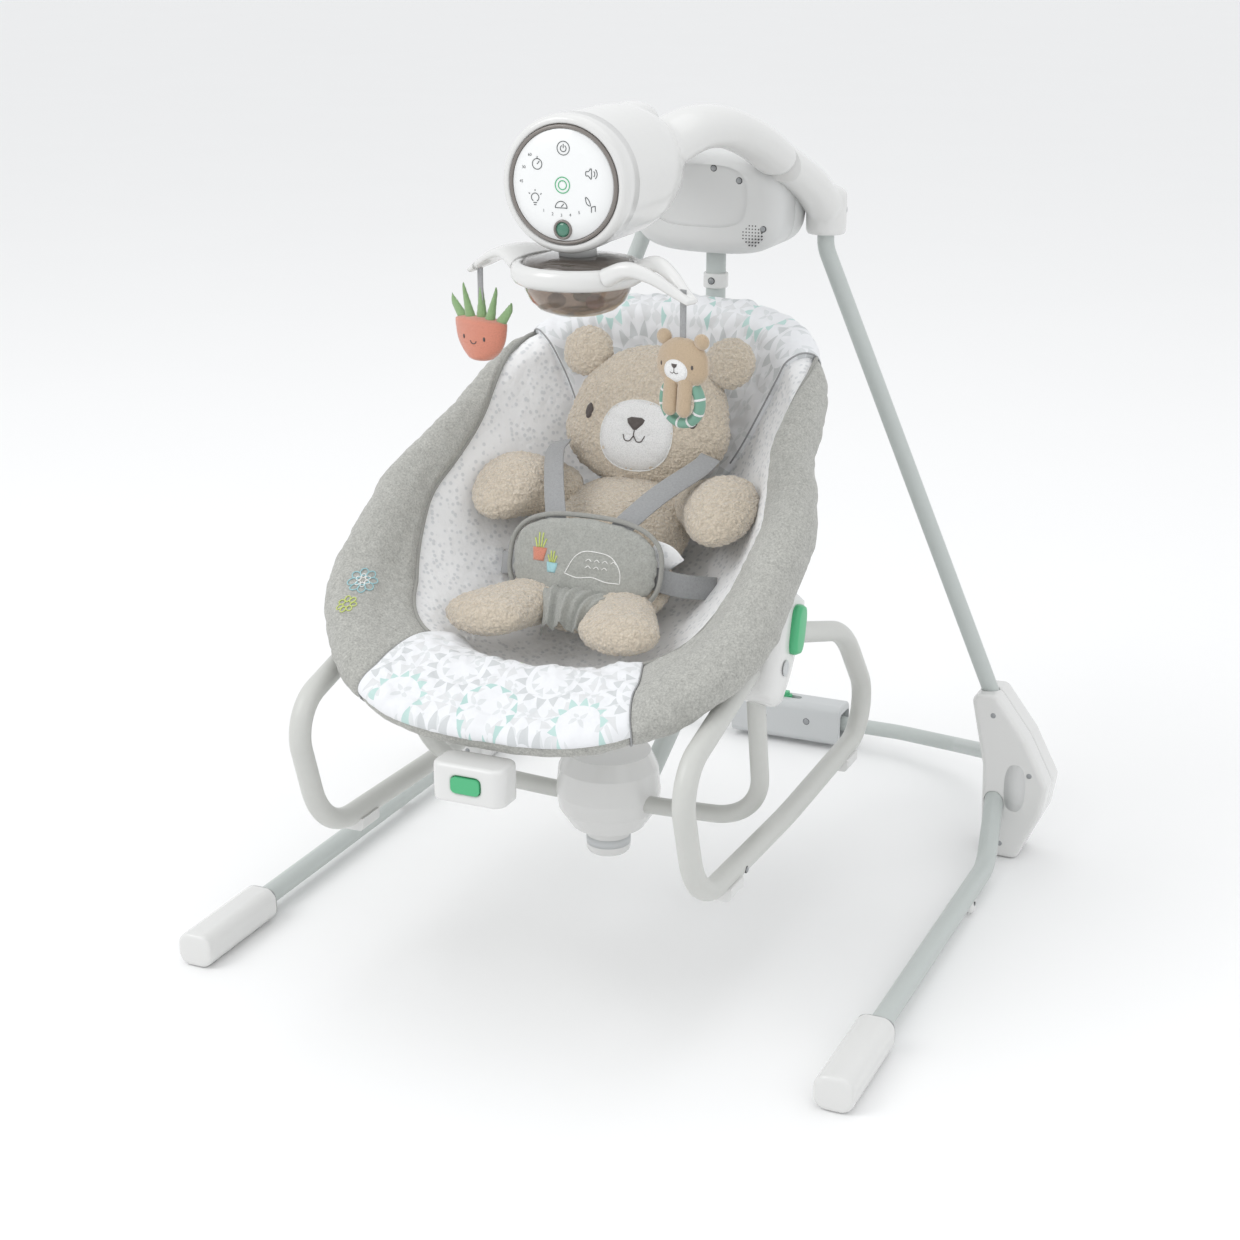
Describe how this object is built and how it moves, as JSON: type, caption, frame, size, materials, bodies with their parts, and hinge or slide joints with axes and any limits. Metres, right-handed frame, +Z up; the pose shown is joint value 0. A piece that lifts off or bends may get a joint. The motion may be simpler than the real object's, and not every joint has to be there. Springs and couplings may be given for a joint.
{
  "type": "baby swing",
  "caption": "Powered baby swing and rocker: padded reclining seat on a side-swinging hanger, round control head with a turning mobile, and a folding tube stand.",
  "frame": {"origin": "on the floor, midway along and across the footprint", "axes": "the swing faces -Y, +Z is up, +X is to the right seen from the front"},
  "size_m": [0.8072, 0.9366, 0.883],
  "materials": {
    "white_shell": "satin moulded plastic",
    "latch_grey": "fine textured plastic",
    "stand_tube": "powder coat",
    "rocker_tube": "powder coat",
    "bezel_metal": "dark satin ring",
    "panel_white": "printed gloss panel",
    "lens_green": "tinted lens",
    "button_green": "green moulded plastic",
    "smoky_clear": "smoke tinted clear plastic",
    "pad_rubber": "soft white rubber",
    "steel": "plain steel",
    "motor_metal": "plated can",
    "board": "circuit board",
    "heather_fabric": "heather woven fabric",
    "plush_fabric": "short curly plush",
    "webbing": "woven webbing",
    "toy_fabric": "stuffed toy fabric",
    "teether": "soft moulded ring"
  },
  "bodies": {
    "head": {"barrel_shell": "white_shell", "bezel_ring": "bezel_metal", "control_panel": "panel_white", "panel_lens": "lens_green", "head_arm_right": "white_shell", "head_arm_left": "white_shell", "arm_socket_right": "white_shell", "arm_socket_left": "white_shell", "motor_housing_front": "white_shell", "motor_housing_rear": "white_shell", "axle_bushes": "steel", "circuit_board": "board", "mobile_motor": "motor_metal", "drive_motor": "motor_metal", "battery_cells": "motor_metal"},
    "leg_right": {"floor_tube_right": "stand_tube", "upright_right": "stand_tube", "foot_cap_right": "white_shell", "hub_front_shell_right": "white_shell", "hub_rear_shell_right": "white_shell"},
    "leg_left": {"floor_tube_left": "stand_tube", "upright_left": "stand_tube", "foot_cap_left": "white_shell", "hub_front_shell_left": "white_shell", "hub_rear_shell_left": "white_shell"},
    "bar_right": {"rear_bar_right": "stand_tube"},
    "bar_left": {"rear_bar_left": "stand_tube"},
    "latch": {"latch_box": "latch_grey"},
    "latch_catch": {"latch_slider": "button_green"},
    "hanger": {"swing_axle": "steel", "drive_gear": "steel", "hanger_yoke": "steel", "hanger_tube": "stand_tube", "hanger_collar": "white_shell", "dock_cup": "white_shell", "base_housing": "white_shell", "cross_tube": "rocker_tube", "runner_right": "rocker_tube", "runner_left": "rocker_tube", "runner_pads": "pad_rubber", "recline_hub_right": "white_shell", "recline_hub_left": "white_shell"},
    "pinion": {"drive_pinion": "steel"},
    "lever_right": {"recline_lever_right": "button_green"},
    "lever_left": {"recline_lever_left": "button_green"},
    "seat": {"recline_plates": "white_shell", "seat_bucket": "heather_fabric", "seat_frame": "steel", "bear_support": "plush_fabric", "waist_pad": "heather_fabric", "harness_straps": "webbing", "buckle": "white_shell", "vibration_unit": "white_shell"},
    "buckle_release": {"buckle_button": "button_green"},
    "vibration_switch": {"vibration_button": "button_green"},
    "mobile": {"mobile_ring": "white_shell", "mobile_bowl": "smoky_clear"},
    "toy_plant": {"plush_plant": "toy_fabric"},
    "toy_bear": {"plush_bear_toy": "toy_fabric", "teether_ring": "teether"}
  },
  "joints": [
    {"name": "fold_right", "type": "hinge", "parent": "head", "child": "leg_right", "pos_m": [0.111, 0.20725, 0.7], "axis": [0, 0, -1], "range_deg": [0, 16]},
    {"name": "fold_left", "type": "hinge", "parent": "head", "child": "leg_left", "pos_m": [-0.111, 0.20725, 0.7], "axis": [0, 0, 1], "range_deg": [0, 16]},
    {"name": "bar_fold_right", "type": "hinge", "parent": "leg_right", "child": "bar_right", "pos_m": [0.332, 0.26525, 0.1], "axis": [0, 0, 1], "range_deg": [0, 20]},
    {"name": "bar_fold_left", "type": "hinge", "parent": "leg_left", "child": "bar_left", "pos_m": [-0.332, 0.26525, 0.1], "axis": [0, 0, -1], "range_deg": [0, 20]},
    {"name": "latch_turn", "type": "hinge", "parent": "bar_right", "child": "latch", "pos_m": [0.06, 0.44725, 0.033], "axis": [0, 0, -1], "range_deg": [0, 4]},
    {"name": "catch_slide", "type": "slide", "parent": "latch", "child": "latch_catch", "axis": [1, 0, 0], "range_m": [0, 0.012], "stiffness_N_per_m": 150},
    {"name": "swing", "type": "hinge", "parent": "head", "child": "hanger", "pos_m": [0, 0.15525, 0.765], "axis": [0, 1, 0], "range_deg": [-10, 10]},
    {"name": "pinion_spin", "type": "hinge", "parent": "head", "child": "pinion", "pos_m": [-0.038, 0.18225, 0.7525], "axis": [0, 1, 0], "range_deg": [-32, 32]},
    {"name": "recline", "type": "hinge", "parent": "hanger", "child": "seat", "pos_m": [0, -0.21275, 0.38], "axis": [-1, 0, 0], "range_deg": [0, 5]},
    {"name": "lever_push_right", "type": "slide", "parent": "hanger", "child": "lever_right", "axis": [-1, 0, 0], "range_m": [0, 0.005], "stiffness_N_per_m": 300},
    {"name": "lever_push_left", "type": "slide", "parent": "hanger", "child": "lever_left", "axis": [1, 0, 0], "range_m": [0, 0.005], "stiffness_N_per_m": 300},
    {"name": "vibration_press", "type": "slide", "parent": "seat", "child": "vibration_switch", "axis": [0, 1, 0], "range_m": [0, 0.002], "stiffness_N_per_m": 400},
    {"name": "buckle_press", "type": "slide", "parent": "seat", "child": "buckle_release", "axis": [0, 1, 0], "range_m": [0, 0.003], "stiffness_N_per_m": 400},
    {"name": "mobile_turn", "type": "hinge", "parent": "head", "child": "mobile", "pos_m": [0, -0.21075, 0.75], "axis": [0, 0, 1], "continuous": true},
    {"name": "plant_swing", "type": "hinge", "parent": "mobile", "child": "toy_plant", "pos_m": [-0.12593, -0.17464, 0.7175], "axis": [0.9613, -0.2756, 0], "range_deg": [-18, 18]},
    {"name": "bear_swing", "type": "hinge", "parent": "mobile", "child": "toy_bear", "pos_m": [0.12593, -0.24686, 0.7175], "axis": [0.9613, -0.2756, 0], "range_deg": [-18, 18]}
  ],
  "couplings": [
    {"joint": "fold_left", "follows": "fold_right", "ratio": 1},
    {"joint": "bar_fold_right", "follows": "fold_right", "ratio": 1.18},
    {"joint": "bar_fold_left", "follows": "fold_right", "ratio": 1.18},
    {"joint": "latch_turn", "follows": "fold_right", "ratio": 0.18},
    {"joint": "pinion_spin", "follows": "swing", "ratio": -3}
  ]
}
